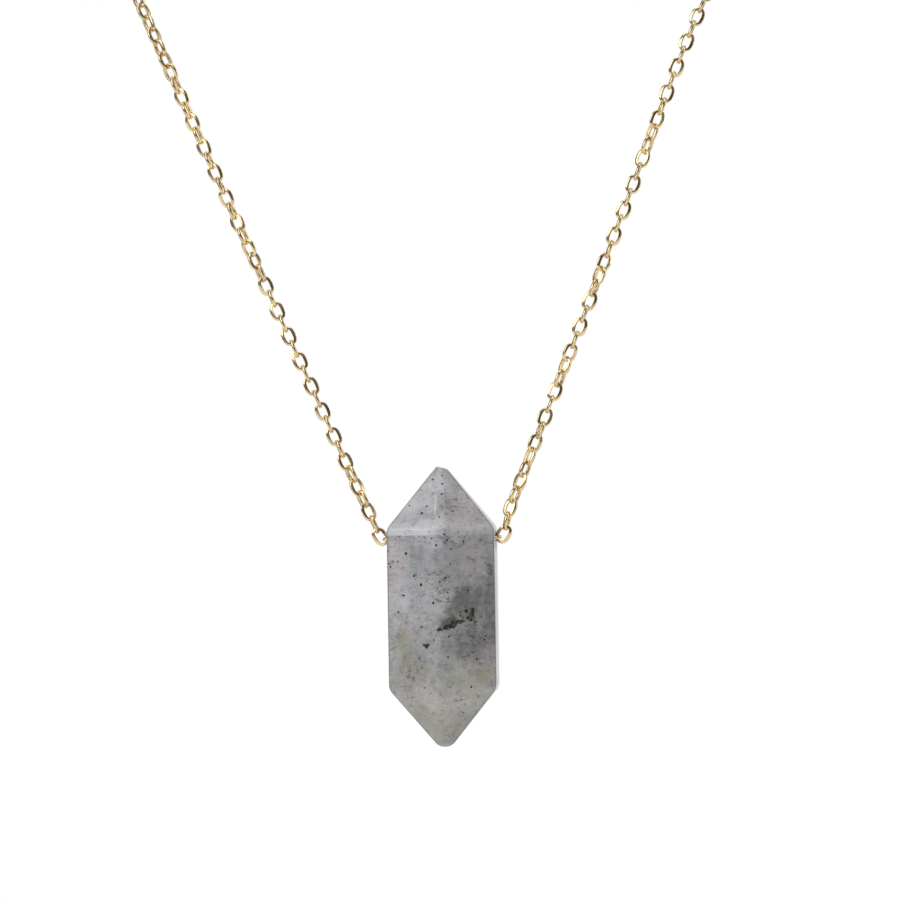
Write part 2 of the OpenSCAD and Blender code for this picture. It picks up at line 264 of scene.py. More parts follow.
def grid_faces(rows, columns, ring=False):
    """Quads of a grid whose columns close on themselves, as its rows do on a ring."""
    row = np.arange(rows if ring else rows - 1)[:, None]
    column = np.arange(columns)[None, :]
    below = row * columns
    above = (row + 1) % rows * columns
    after = (column + 1) % columns
    corners = [below + column, below + after, above + after, above + column]
    return np.stack(corners, -1).reshape(-1, 4)


def closed_rows(points):
    """Points and faces of a grid of rings with a pole at each end, in the middle of the
    first and the last ring."""
    rows, columns = points.shape[:2]
    faces = grid_faces(rows, columns).tolist()
    poles = np.stack([points[0].mean(0), points[-1].mean(0)])
    count = rows * columns
    column = np.arange(columns)
    after = (column + 1) % columns
    last = (rows - 1) * columns
    faces += np.stack([after, column, np.full(columns, count)], -1).tolist()
    faces += np.stack([last + column, last + after, np.full(columns, count + 1)], -1).tolist()
    return np.concatenate([points.reshape(-1, 3), poles]), faces


def new_piece(name, points, faces):
    """Smooth object at the origin whose mesh holds the points, in metres in the frame."""
    mesh = bpy.data.meshes.new(name)
    mesh.from_pydata(points.reshape(-1, 3).tolist(), [], [list(map(int, f)) for f in faces])
    mesh.polygons.foreach_set("use_smooth", np.ones(len(mesh.polygons), bool))
    mesh.update()
    piece = bpy.data.objects.new(name, mesh)
    bpy.context.scene.collection.objects.link(piece)
    return piece


def face_outwards(piece):
    """Turns every face of a closed piece to look outwards."""
    work = bmesh.new()
    work.from_mesh(piece.data)
    bmesh.ops.recalc_face_normals(work, faces=work.faces)
    work.to_mesh(piece.data)
    work.free()


def apply_modifiers(piece):
    """Works the piece's modifiers into its mesh."""
    evaluated = piece.evaluated_get(bpy.context.evaluated_depsgraph_get())
    mesh = bpy.data.meshes.new_from_object(evaluated)
    piece.modifiers.clear()
    piece.data = mesh


def slant_reach(climb, height, half_flats, fillet):
    """Distance of one side of the stone from its axis, at a climb above the shoulder:
    the flat side, then an arc of the fillet's radius, then a straight line that comes
    to nothing at the point's height."""
    slope = math.atan2(half_flats, height)
    tangent = fillet * math.tan(slope / 2)
    arc = half_flats - fillet + np.sqrt(np.clip(fillet**2 - (climb + tangent)**2, 0, None))
    line = (height - climb) * math.tan(slope)
    arc_end = fillet * math.sin(slope) - tangent
    return np.where(climb < -tangent, half_flats, np.where(climb < arc_end, arc, line))


def lower_ball(half_flats):
    """Heights of the middle and the bottom of the ball that rounds the lower tip. It
    touches the slanted sides of a point of the full height."""
    rise = LOWER_TIP_RADIUS / math.sin(math.atan2(half_flats, LOWER_HEIGHT))
    middle = LOWER_SHOULDER - LOWER_HEIGHT + rise
    return middle, middle - LOWER_TIP_RADIUS


def side_reaches(z, half_flats):
    """Distance of each of the six sides from the axis at the heights z, in columns. At
    the lower tip each slanted line runs into a circle that touches it, and the circles
    are stretched a little so that all six end at the same point of the axis."""
    ball_middle, bottom = lower_ball(half_flats)
    reaches = []
    for _, upper_share, lower_share, fillet in FACETS:
        up = slant_reach(z - UPPER_SHOULDER, UPPER_HEIGHT * upper_share, half_flats, fillet)
        height = LOWER_HEIGHT * lower_share
        down = slant_reach(LOWER_SHOULDER - z, height, half_flats, fillet)
        slope = math.atan2(half_flats, height)
        radius = (ball_middle - LOWER_SHOULDER + height) * math.sin(slope)
        ball_top = ball_middle - radius * math.sin(slope)
        share = np.clip((z - bottom) / (ball_top - bottom), 0, 1)
        climb = share * radius * (1 - math.sin(slope))
        ball = np.sqrt(climb * (2 * radius - climb))
        reaches.append(np.minimum(up, np.where(z < ball_top, ball, down)))
    return np.stack(reaches, -1)


def stone_radius(z, turn, half_flats):
    """Radius of the stone at a height and a direction: one over the power mean of
    cosine over reach for the six sides, so that the nearest side wins and the edges
    between two sides are slightly rounded. Close to the front and the back, where the
    sine of the turn passes three quarters, the power falls and the edge gets rounder."""
    reaches = np.maximum(side_reaches(z, half_flats), LEAST_REACH)[..., None, :]
    facing = np.clip(np.cos(turn[:, None] - SIDE_TURNS), 0, None)
    least = reaches.min(-1, keepdims=True)
    frontal = np.clip(np.abs(np.sin(turn)) * 4 - 3, 0, 1)[:, None]
    power = SIDE_EDGE_POWER + (FRONT_EDGE_POWER - SIDE_EDGE_POWER) * frontal
    shares = (facing * least / reaches)**power
    return least[..., 0] * shares.sum(-1)**(-1 / power[:, 0])


def stone_rows(half_flats):
    """Heights of the rows of the stone's grid: even bands from the lower tip up, finer
    at the tips and the shoulders. The lowest band is squared, closer at the tip."""
    bottom = lower_ball(half_flats)[1]
    apex = UPPER_SHOULDER + UPPER_HEIGHT
    ends = [
        bottom + LOWER_TIP_BAND, LOWER_SHOULDER - POINT_BAND, LOWER_SHOULDER + WALL_BAND,
        UPPER_SHOULDER - WALL_BAND, UPPER_SHOULDER + POINT_BAND, apex - UPPER_TIP_BAND,
        apex - LAST_ROW,
    ]
    lowest = bottom + LOWER_TIP_BAND * np.linspace(0.04, 1, LOWEST_ROWS)[:-1]**2
    bands = [
        np.linspace(low, high, rows)[:-1]
        for low, high, rows in zip(ends, ends[1:], BAND_ROWS)
    ]
    return np.concatenate([lowest, *bands, ends[-1:]])


def stone_points(half_flats):
    """Grid of the stone's surface: the radius at the height of each row, in the direction
    of each column. The columns are close together at the edges. Above the slanting
    flat, the upper tip is pressed down on it with a rounded rim, by a smooth minimum."""
    z = stone_rows(half_flats)
    step = np.linspace(-1, 1, SIDE_COLUMNS + 1)[:-1]
    crowded = (1 - CROWDING) * step + CROWDING * np.sin(step * math.pi / 2)
    sector = np.radians(30) * crowded
    turn = (SIDE_TURNS[:, None] + sector).ravel()
    radius = stone_radius(z, turn, half_flats)
    x = radius * np.cos(turn)
    y = radius * np.sin(turn)
    flat = UPPER_SHOULDER + UPPER_HEIGHT - TIP_FLAT_DEPTH - x * math.tan(TIP_FLAT_SLOPE)
    pressed = -TIP_FLAT_RIM * np.logaddexp(-z[:, None] / TIP_FLAT_RIM, -flat / TIP_FLAT_RIM)
    return np.stack([x, y, pressed], -1)


def drill_points(half_flats):
    """Grid of the drill that the stone is cut with: a round bar along x that widens at
    each of the stone's sides, for the bevel of the mouth, and ends a little past them."""
    wide = DRILLING_RADIUS + 2 * DRILLING_BEVEL
    beyond = half_flats + DRILL_PAST
    outer = half_flats + DRILLING_BEVEL
    inner = half_flats - DRILLING_BEVEL
    profile = np.array([
        [-beyond, wide], [-outer, wide], [-inner, DRILLING_RADIUS],
        [inner, DRILLING_RADIUS], [outer, wide], [beyond, wide],
    ])
    turn = round_turns(DRILL_COLUMNS)
    x = np.broadcast_to(profile[:, :1], (len(profile), len(turn)))
    return np.stack([x, profile[:, 1:] * np.cos(turn), profile[:, 1:] * np.sin(turn)], -1)


def edge_distances(points, half_flats):
    """How far each point is from the nearest side edge of the stone, in millimetres: what
    is missing for the second nearest side to be as near as the nearest. Points on the
    front and back edges and in the drilling count as far from an edge."""
    x, y, z = points.T
    reaches = np.maximum(side_reaches(z, half_flats), LEAST_REACH)
    out = np.hypot(x, y)
    turn = np.arctan2(y, x)[:, None]
    facing = out[:, None] * np.cos(turn - SIDE_TURNS) / reaches
    ranked = np.sort(facing, -1)
    distance = (ranked[:, -1] - ranked[:, -2]) * reaches.min(-1) / math.sin(math.radians(60))
    drilled = np.hypot(y, z) < DRILLING_RADIUS + 3 * DRILLING_BEVEL
    frontal = np.abs(y) > 0.8 * out
    return np.where(drilled | frontal, NO_EDGE, distance)


def front_of_stone(x, z, half_flats):
    """Point of the stone's front surface at x and z, in millimetres from the drilling:
    of the directions round the front, the one whose radius comes nearest to x."""
    turn = np.radians(np.linspace(180, 360, 721))
    radius = stone_radius(np.array([float(z)]), turn, half_flats)[0]
    found = np.argmin(np.abs(radius * np.cos(turn) - x))
    return (x, float(radius[found] * np.sin(turn[found])), z)


def joined_corners(places):
    """Number of each corner, the same for corners that meet to the micron. A corner's
    place becomes one whole number, in which each axis has its own bits."""
    microns = np.round(places * 1e6).astype(np.int64) + 2**(AXIS_BITS - 1)
    return np.unique(microns @ 2**(AXIS_BITS * np.arange(3)), return_inverse=True)[1]


def ring_numbers(triangles):
    """Number of the loose ring that each triangle is in: every corner takes the lowest
    label of the triangles round it, until none changes."""
    label = np.arange(triangles.max() + 1)
    while True:
        lowest = label.copy()
        np.minimum.at(lowest, triangles.ravel(), np.repeat(label[triangles].min(1), 3))
        lowest = lowest[lowest]
        if np.array_equal(lowest, label):
            return np.unique(label[triangles[:, 0]], return_inverse=True)[1]
        label = lowest


def loose_rings(node):
    """Middle and three axes of each loose ring of a node, longest axis first: the mean
    of its triangles' centres, weighted by area, and the axes of their spread about it."""
    mesh = frame["nodes"][node].data
    places = np.empty(len(mesh.vertices) * 3, np.float32)
    mesh.vertices.foreach_get("co", places)
    corners = np.empty(len(mesh.loops), np.int32)
    mesh.loops.foreach_get("vertex_index", corners)
    places = places.reshape(-1, 3).astype(float)
    ring = ring_numbers(joined_corners(places)[corners].reshape(-1, 3))
    corner = places[corners].reshape(-1, 3, 3)
    sides = corner[:, 1:] - corner[:, :1]
    area = np.linalg.norm(np.cross(sides[:, 0], sides[:, 1]), axis=1)
    centre = corner.mean(1)
    total = np.bincount(ring, area)
    middle = np.stack([np.bincount(ring, area * c) for c in centre.T], -1) / total[:, None]
    off = centre - middle[ring]
    spread = np.stack([
        np.stack([np.bincount(ring, area * off[:, i] * off[:, j]) for j in range(3)], -1)
        for i in range(3)
    ], -1)
    axes = np.linalg.eigh(spread)[1][:, :, ::-1].copy()
    axes[:, :, 2] = np.cross(axes[:, :, 0], axes[:, :, 1])
    return middle, axes


def signed_power(value, power):
    """The value's size to a power, with its sign."""
    return np.sign(value) * np.abs(value)**power


def link_points(length, width, band, depth):
    """Grid of one flattened oval link: round an oval, whose x and y are powers of the
    cosine and sine of the turn, goes a six-sided section with flat faces front and back.
    The band is slimmer at the two ends, where the next links hang, than at the sides."""
    turn = round_turns(LINK_ROWS)[:, None]
    wide = band * (1 - END_SLIMMING * np.cos(turn)**2)
    half_width = width / 2 - wide / 2 + wide / 2 * SECTION_OUT
    half_length = half_width + (length - width) / 2
    x = half_length * signed_power(np.cos(turn), 2 / OVAL_POWER)
    y = half_width * signed_power(np.sin(turn), 2 / OVAL_POWER)
    return np.stack([x, y, np.broadcast_to(depth / 2 * SECTION_RISE, x.shape)], -1)


def link_normals(length, width):
    """Directions that shade one link, square to the oval: straight out and in on its
    sides, and sloping outwards on its faces, more at the outer rim and less at the inner
    one, as on a link pressed a little domed."""
    turn = round_turns(LINK_ROWS)[:, None]
    power = 2 - 2 / OVAL_POWER
    ahead = signed_power(np.cos(turn), power) / length
    aside = signed_power(np.sin(turn), power) / width
    outer = FACE_SLOPE + FACE_BULGE
    inner = FACE_SLOPE - FACE_BULGE
    lean = np.array([math.pi / 2, outer, inner, -math.pi / 2, inner, outer])
    facing = np.array([1, 1, 1, 1, -1, -1])
    away = np.sin(lean) / np.hypot(ahead, aside)
    forward = np.broadcast_to(np.cos(lean) * facing, away.shape)
    return np.stack([ahead * away, aside * away, forward], -1)


def ring_points(width, wire, around=72, section=24):
    """Grid of a round ring in the x-y plane, of an outer width and a thickness: a circle
    of the wire's radius carried round the middle circle."""
    turn = round_turns(around)[:, None]
    roll = round_turns(section)
    radius = (width - wire) / 2 + wire / 2 * np.cos(roll)
    x = radius * np.cos(turn)
    y = radius * np.sin(turn)
    return np.stack([x, y, np.broadcast_to(wire / 2 * np.sin(roll), x.shape)], -1)


def flat_sheet():
    """Points and faces of a round flat sheet: rings about a middle point, each its radius
    times the cosine and sine of the turn."""
    turn = round_turns(SHEET_COLUMNS)
    radius = np.array(SHEET_RADII)[:, None]
    level = np.zeros((len(radius), len(turn)))
    rings = np.stack([radius * np.cos(turn), radius * np.sin(turn), level], -1)
    points, faces = closed_rows(rings)
    outer_pole = len(points) - 1
    return points[:-1], [face for face in faces if outer_pole not in face]


class Term:
    """Output of a shader node. An expression on terms adds its Math nodes."""

    def __init__(self, finish, socket):
        self.finish = finish
        self.socket = socket

    def math(self, operation, *values):
        """Result of a Math node on terms and numbers."""
        inputs = dict(enumerate(values))
        return self.finish.node("ShaderNodeMath", {"operation": operation}, inputs)

    def __add__(self, other):
        return self.math("ADD", self, other)

    def __radd__(self, other):
        return self.math("ADD", other, self)

    def __sub__(self, other):
        return self.math("SUBTRACT", self, other)

    def __rsub__(self, other):
        return self.math("SUBTRACT", other, self)

    def __mul__(self, other):
        return self.math("MULTIPLY", self, other)

    def __rmul__(self, other):
        return self.math("MULTIPLY", other, self)

    def __truediv__(self, other):
        return self.math("DIVIDE", self, other)

    def __rtruediv__(self, other):
        return self.math("DIVIDE", other, self)

    def __abs__(self):
        return self.math("ABSOLUTE", self)

    def least(self, other):
        """The smaller of two terms."""
        return self.math("MINIMUM", self, other)

    def most(self, other):
        """The larger of two terms."""
        return self.math("MAXIMUM", self, other)

    def ramp(self, start, end):
        """0 at the start value and 1 at the end value, with a soft step between."""
        settings = {"interpolation_type": "SMOOTHSTEP", "clamp": True}
        values = {"Value": self, "From Min": start, "From Max": end}
        if start > end:
            values.update({"From Min": end, "From Max": start, "To Min": 1.0, "To Max": 0.0})
        return self.finish.node("ShaderNodeMapRange", settings, values)


class Finish:
    """A material made of nodes, or the nodes of the world."""

    def __init__(self, tree):
        self.tree = tree
        tree.nodes.clear()

    def node(self, kind, settings=None, inputs=None, output=0):
        """Adds a node, sets its settings, then its sockets' values or links. Gives one of
        its outputs, or nothing where it has none."""
        made = self.tree.nodes.new(kind)
        for key, value in (settings or {}).items():
            setattr(made, key, value)
        for key, value in (inputs or {}).items():
            if isinstance(value, Term):
                self.tree.links.new(value.socket, made.inputs[key])
            else:
                made.inputs[key].default_value = value
        return Term(self, made.outputs[output]) if len(made.outputs) else None

    def vector(self, operation, *values, output=0):
        """Result of a Vector Math node."""
        inputs = dict(enumerate(values))
        return self.node("ShaderNodeVectorMath", {"operation": operation}, inputs, output)

    def blend(self, mask, first, second):
        """Colour that is the first where the mask is 0 and the second where it is 1."""
        return self.node("ShaderNodeMix", {"data_type": "RGBA"}, {0: mask, 6: first, 7: second}, 2)

    def noise(self, place, scale, detail=3.0, roughness=0.5, output=0):
        """Noise, with about as many features to a unit of the place as its scale."""
        inputs = {"Vector": place, "Scale": scale, "Detail": detail, "Roughness": roughness}
        return self.node("ShaderNodeTexNoise", {}, inputs, output)

    def stray(self, place, scale, detail, reach):
        """The place moved along each axis by a noise, by half the reach at most."""
        drift = self.noise(place, scale, detail, roughness=0.6, output=1)
        moved = self.vector("MULTIPLY_ADD", drift, (reach, reach, reach), place)
        return self.vector("SUBTRACT", moved, (reach / 2, reach / 2, reach / 2))

    def parts(self, vector):
        """The three numbers of a vector."""
        return [self.node("ShaderNodeSeparateXYZ", {}, {0: vector}, axis) for axis in range(3)]

    def place(self, middle):
        """Object coordinates in millimetres from a middle given in metres."""
        here = self.node("ShaderNodeTexCoord", output=3)
        off = self.vector("SUBTRACT", here, tuple(middle))
        return self.vector("MULTIPLY", off, (1 / MM, 1 / MM, 1 / MM))

    def surface(self, inputs):
        """Shows a shader with these values or links on the material's surface."""
        shader = self.node("ShaderNodeBsdfPrincipled", {}, inputs)
        self.node("ShaderNodeOutputMaterial", {}, {"Surface": shader})


def new_material(name):
    """A material and the finish that its nodes are added to."""
    material = bpy.data.materials.new(name)
    material.use_nodes = True
    return material, Finish(material.node_tree)


def opaque(colour):
    """A colour with its fourth number, as sockets take it."""
    return (*colour, 1)


class Body:
    """Colour of the stone, built up layer by layer, and what the layers are placed by:
    the place in millimetres from the drilling, its parts, and the noises."""

    def __init__(self, paint, look):
        self.paint = paint
        self.look = look
        self.half_flats = look.across_flats / 2 / MM
        self.at = paint.place(DRILLING)
        self.across, depth, self.up = paint.parts(self.at)
        self.front = depth.ramp(*FRONT_FADE)
        self.noises = {word: paint.noise(self.at, *values) for word, values in NOISES.items()}
        drawn_out = paint.vector("MULTIPLY", self.at, (1.0, 1.0, 1.7))
        self.noises["scratch"] = paint.noise(drawn_out, scale=1.6, detail=4.0, roughness=0.75)
        self.bent = paint.stray(self.at, scale=0.55, detail=3.0, reach=2.4)
        warm = self.up.ramp(*WARM_FADE)
        self.colour = paint.blend(warm, opaque(look.body_colour), opaque(look.warm_colour))

    def lay(self, mask, word):
        """Lays one of the look's colours over the body as far as the mask says."""
        over = opaque(getattr(self.look, f"{word}_colour"))
        self.colour = self.paint.blend(mask, self.colour, over)

    def away(self, place, x, z, size, turn=0):
        """Distance of a place from a point of the front surface, as a share of the half
        width, depth and half height there, turned by degrees."""
        inside = self.paint.node("ShaderNodeMapping", {"vector_type": "TEXTURE"}, {
            "Vector": place, "Scale": size, "Rotation": (0, -math.radians(turn), 0),
            "Location": front_of_stone(x, z, self.half_flats)})
        return self.paint.vector("LENGTH", inside, output=1)


def lay_step_light_and_shade(body):
    """Painted light and shade of the step across the front, just above the drilling: a
    painted highlight in a band above it that is stronger on the left, and slightly darker
    painted shade in a band below it, whose mask is given back."""
    # Painted shade in a band below the step
    below = body.up.ramp(*STEP_LINE) * body.up.ramp(*STEP_BELOW) * body.front
    body.lay(below * 0.13, "shade")
    # Painted highlight in a band above the step, stronger on the left
    left = body.across.ramp(*STEP_LEFT) + 0.35
    above = body.up.ramp(*STEP_LINE[::-1]) * body.up.ramp(*STEP_ABOVE) * left * body.front
    body.lay(above * 0.45, "frost_and_highlight")
    return below


def lay_ridge_light_and_shade(body):
    """Painted highlight along the upright ridge on the front of the upper point, with painted shade
    on its right.
    """
    # Painted shade on the facet to the right of the ridge
    right = body.across.ramp(*RIDGE_RIGHT[::-1]) * body.across.ramp(*SHADE_RIGHT)
    shade_beside_ridge = right * body.up.ramp(*SHADE_FOOT) * body.up.ramp(*SHADE_TOP) * body.front
    body.lay(shade_beside_ridge * 0.25, "shade")
    # Painted highlight in a narrow band along the ridge
    narrow = body.across.ramp(*RIDGE_LEFT) * body.across.ramp(*RIDGE_RIGHT)
    ridge = narrow * body.up.ramp(*RIDGE_FOOT) * body.front
    body.lay(ridge * body.up.ramp(*RIDGE_TOP) * 0.5, "frost_and_highlight")


def lay_stains(body):
    """Stains, each a stretched and turned ball about a point of the front. The small ones
    have a crumbled outline and gaps where the grain is low, and the large ones are
    cloudy."""
    crumbled = body.paint.stray(body.at, scale=1.6, detail=2.0, reach=0.7)
    gaps = body.noises["grain"].ramp(0.36, 0.45)
    uneven = body.noises["mottle"].ramp(0.3, 0.65) * 0.45 + 0.75
    torn = (crumbled, TORN_DEPTH, TORN_FADE, gaps)
    soft = (body.bent, SOFT_DEPTH, SOFT_FADE, uneven)
    for x, z, wide, tall, turn, word, strength in STAINS:
        place, depth, fade, texture = torn if min(wide, tall) < TORN_BELOW else soft
        away = body.away(place, x, z, (wide, depth, tall), turn)
        body.lay(away.ramp(*fade) * texture * strength, word)


def lay_marks(body, step_shade_band):
    """Small dark marks where a scratchy noise is high, within the rough patches, below
    the step and on part of the mottles, and hair lines along the middle of a noise."""
    rough = step_shade_band * 0.55 + body.noises["mottle"].ramp(0.46, 0.6) * 0.6
    for x, z, wide, tall in ROUGH_PATCHES:
        away = body.away(body.bent, x, z, (wide, SOFT_DEPTH, tall))
        rough = rough.most(away.ramp(*PATCH_FADE))
    marked = body.noises["scratch"].ramp(0.53, 0.6) * rough.least(1.0)
    body.lay(marked * 0.6, "speck_and_edge_shade")
    web = body.paint.noise(body.at, scale=0.9, detail=4.0, roughness=0.65) - 0.5
    lines = abs(web).ramp(0.014, 0.0) * body.noises["cloud"].ramp(0.42, 0.55)
    body.lay(lines * 0.6, "shade")


def lay_specks(body):
    """Dark specks: fine pepper in some cells all over the stone, and the ragged round
    specks of the front, by the distance to the nearest one in its own radii."""
    cells = {"Vector": body.at, "Scale": 1.1}
    from_middle = body.paint.node("ShaderNodeTexVoronoi", {}, cells)
    own_colour = body.paint.node("ShaderNodeTexVoronoi", {}, cells, 1)
    chance = body.paint.node("ShaderNodeSeparateColor", {}, {0: own_colour})
    ragged = from_middle + (body.noises["grain"] - 0.5) * 0.1
    pepper = ragged.ramp(0.11, 0.06) * chance.ramp(0.7, 0.75)
    body.lay(pepper * 0.7, "speck_and_edge_shade")
    nearest = None
    for x, z, radius in SPECKS:
        middle = front_of_stone(x, z, body.half_flats)
        away = body.paint.vector("DISTANCE", body.at, middle, output=1) / radius
        nearest = away if nearest is None else nearest.least(away)
    ragged = nearest + (body.noises["scratch"] - 0.5) * 3.0
    body.lay(ragged.ramp(1.15, 0.85), "speck_and_edge_shade")


def stone_finish(look):
    """Cloudy grey stone with a polish: drifting tones, painted light and shade at the step and
    along the ridge of its upper point, stains, dark marks, hair lines, specks, and painted
    shade along the side edges."""
    material, paint = new_material("grey_stone")
    body = Body(paint, look)
    for noise, start, full, strength, word in TONES:
        body.lay(body.noises[noise].ramp(start, full) * strength, word)
    step_shade_band = lay_step_light_and_shade(body)
    lay_ridge_light_and_shade(body)
    lay_stains(body)
    lay_marks(body, step_shade_band)
    lay_specks(body)
    # Painted shade along the side edges, laid in the dark speck colour
    edge = paint.node("ShaderNodeAttribute", {"attribute_name": "edge_distance"}, output=2)
    body.lay(edge.ramp(*EDGE_SHADE_FADE) * 0.5, "speck_and_edge_shade")
    grain = body.noises["grain"]
    bump = paint.node("ShaderNodeBump", {}, {"Strength": 0.1, "Distance": 0.0001, "Height": grain})
    paint.surface({
        "Base Color": body.colour, "Roughness": 0.3 + grain * 0.12, "IOR": 1.54,
        "Coat Weight": 0.35, "Coat Roughness": 0.08, "Normal": bump})
    return material


def gold_finish(word, look):
    """Thin gold plate on brass: a bright skin that drifts to brown along the chain, as far
    as the piece that the word stands for is tarnished."""
    material, paint = new_material(f"gold_{word}")
    at = paint.place(DRILLING)
    drift = paint.noise(at, scale=0.45, detail=3.0, roughness=0.55)
    wear = paint.noise(at, scale=2.2, detail=2.0)
    worn = drift.ramp(0.42, 0.66) * TARNISH[word]
    colour = paint.blend(worn, opaque(look.gold_colour), opaque(look.tarnish_colour))
    rough = 0.1 + wear * 0.06 + worn * 0.08
    paint.surface({"Base Color": colour, "Metallic": 1.0, "Roughness": rough})
    return material


def plain_finish(name, colour, roughness):
    """Matt paper or cloth: one colour with a faint grey mottle."""
    material, paint = new_material(name)
    here = paint.node("ShaderNodeTexCoord", output=3)
    mottle = paint.noise(here, scale=60.0)
    tone = paint.blend(mottle * 0.06, opaque(colour), (0.5, 0.5, 0.5, 1))
    paint.surface({"Base Color": tone, "Roughness": roughness})
    return material


def colour_property(name, description, default):
    """A colour that a user can change."""
    return bpy.props.FloatVectorProperty(
        name=name, description=description, default=default,
        subtype="COLOR", size=3, min=0.0, max=1.0)


def length_property(name, description, default):
    """A length that a user can change, whose default is given in millimetres."""
    return bpy.props.FloatProperty(
        name=name, description=description, default=default * MM,
        unit="LENGTH", min=0.0, precision=5)


class StoneLook(bpy.types.PropertyGroup):
    """Width and colours of the stone"""
    across_flats: length_property(
        "Across flats", "Width of the stone between opposite flat sides", 13.0)
    body_colour: colour_property("Body", "Colour of most of the stone", (0.45, 0.435, 0.458))
    warm_colour: colour_property("Warm", "Colour towards the lower point", (0.44, 0.424, 0.392))
    rose_colour: colour_property("Rose", "Colour of the warm pinkish clouds", (0.44, 0.39, 0.4))
    shade_colour: colour_property("Shade", "Colour of the dark clouds", (0.15, 0.147, 0.142))
    slate_colour: colour_property("Slate", "Colour of the bluish clouds", (0.26, 0.28, 0.285))
    moss_colour: colour_property("Moss", "Colour of the greenish stains", (0.31, 0.305, 0.225))
    # Also the colour of the painted highlights above the step, along the ridge and above the upper
    # shoulder
    frost_and_highlight_colour: colour_property("Frost", "Colour of the pale grain", (0.68, 0.67, 0.71))
    # Also the colour of the painted shade along the side edges
    speck_and_edge_shade_colour: colour_property("Specks", "Colour of the dark specks", (0.006, 0.006, 0.004))


class MetalLook(bpy.types.PropertyGroup):
    """Sizes of a link and colours of the gold"""
    link_length: length_property("Link length", "Length of one link, outside", 2.42)
    link_width: length_property("Link width", "Width of one link, outside", 1.8)
    band_width: length_property("Band width", "Width of a link's metal, seen from the front", 0.45)
    band_depth: length_property("Band depth", "Depth of a link's metal, front to back", 0.42)
    gold_colour: colour_property("Gold", "Colour of the clean gold", (0.95, 0.745, 0.4))
    tarnish_colour: colour_property("Tarnish", "Colour of the browner gold", (0.76, 0.59, 0.37))


class StudioLook(bpy.types.PropertyGroup):
    """Backdrop, lights and camera"""
    backdrop_colour: colour_property("Backdrop", "Colour behind the pendant", (1.0, 1.0, 1.0))
    ambient: bpy.props.FloatProperty(
        name="Ambient", description="Strength of the light from all round", default=0.44, min=0.0)
    mirrored_ambient: bpy.props.FloatProperty(
        name="Mirrored ambient", description="Strength of that light in reflections",
        default=0.16, min=0.0)
    key_power: bpy.props.FloatProperty(
        name="Light power", description="Power that the soft lights take their shares of",
        default=2.75, min=0.0, unit="POWER")
    camera_distance: bpy.props.FloatProperty(
        name="Camera distance", description="Distance from the camera to the chain",
        default=0.9, min=0.1, unit="LENGTH")


def cut_drilling(stone, half_flats):
    """Cuts the drilling with its bevelled mouths out of the stone."""
    points, faces = closed_rows(drill_points(half_flats))
    drill = new_piece("drill", points * MM + DRILLING, faces)
    face_outwards(drill)
    cut = stone.modifiers.new("Drilling", "BOOLEAN")
    cut.operation = "DIFFERENCE"
    cut.solver = "EXACT"
    cut.object = drill
    apply_modifiers(stone)
    bpy.data.objects.remove(drill)
    if not stone.data.polygons:
        raise RuntimeError("cutting the drilling leaves nothing of the stone")


def note_edge_distances(stone, half_flats):
    """Stores each corner's distance from the side edges, along which the finish paints shade."""
    places = np.empty(len(stone.data.vertices) * 3, np.float32)
    stone.data.vertices.foreach_get("co", places)
    local = (places.reshape(-1, 3) - DRILLING) / MM
    distances = edge_distances(local, half_flats).astype(np.float32)
    edges = stone.data.attributes.new("edge_distance", "FLOAT", "POINT")
    edges.data.foreach_set("value", distances)


class PENDANT_OT_stone(bpy.types.Operator):
    """Make the six-sided stone with a point at each end and its drilling"""
    bl_idname = "pendant.stone"
    bl_label = "Stone"

    def execute(self, context):
        look = context.scene.pendant_stone
        half_flats = look.across_flats / 2 / MM
        points, faces = closed_rows(stone_points(half_flats))
        stone = new_piece("stone", points * MM + DRILLING, faces)
        face_outwards(stone)
        cut_drilling(stone, half_flats)
        stone.data.set_sharp_from_angle(angle=SHARP_EDGE)
        note_edge_distances(stone, half_flats)
        stone.data.materials.clear()
        stone.data.materials.append(stone_finish(look))
        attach(stone, "crystal")
        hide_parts("crystal_point")
        return {"FINISHED"}


class PENDANT_OT_chain(bpy.types.Operator):
    """Make both halves of the oval-link chain, link by link, where the frame has them"""
    bl_idname = "pendant.chain"
    bl_label = "Chain"

    def execute(self, context):
        look = context.scene.pendant_metal
        link = link_points(look.link_length, look.link_width, look.band_width, look.band_depth)
        faces = grid_faces(*link.shape[:2], ring=True)[:, ::-1]
        link = link.reshape(-1, 3)
        straight = link_normals(look.link_length, look.link_width).reshape(-1, 3)
        chance = np.random.default_rng(LINK_SEED)
        for side in ("left", "right"):
            middle, axes = loose_rings(f"chain_{side}")
            if not len(middle):
                raise RuntimeError(f"the frame has no links in chain_{side}")
            points = middle[:, None, :] + np.einsum("kij,pj->kpi", axes, link)
            bend = chance.normal(0, LINK_BEND, (len(middle), 1, 3)) * [1, 1, 0]
            normals = np.einsum("kij,kpj->kpi", axes, straight + np.cross(bend, straight))
            first = (np.arange(len(middle)) * len(link))[:, None, None]
            piece = new_piece(f"links_{side}", points, (faces + first).reshape(-1, 4))
            piece.data.normals_split_custom_set_from_vertices(normals.reshape(-1, 3).tolist())
            piece.data.materials.append(gold_finish(side, look))
            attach(piece, "necklace")
            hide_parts(f"chain_{side}")
        return {"FINISHED"}


def ring_piece(name, node, rings, material):
    """One piece of rings, each given by its points in millimetres, that stands for a node."""
    counts = np.cumsum([0] + [ring.shape[0] * ring.shape[1] for ring in rings])
    faces = np.concatenate([
        grid_faces(*ring.shape[:2], ring=True) + start for ring, start in zip(rings, counts)])
    points = np.concatenate([ring.reshape(-1, 3) for ring in rings])
    piece = new_piece(name, points * MM, faces)
    face_outwards(piece)
    piece.data.materials.append(material)
    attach(piece, "necklace")
    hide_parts(node)


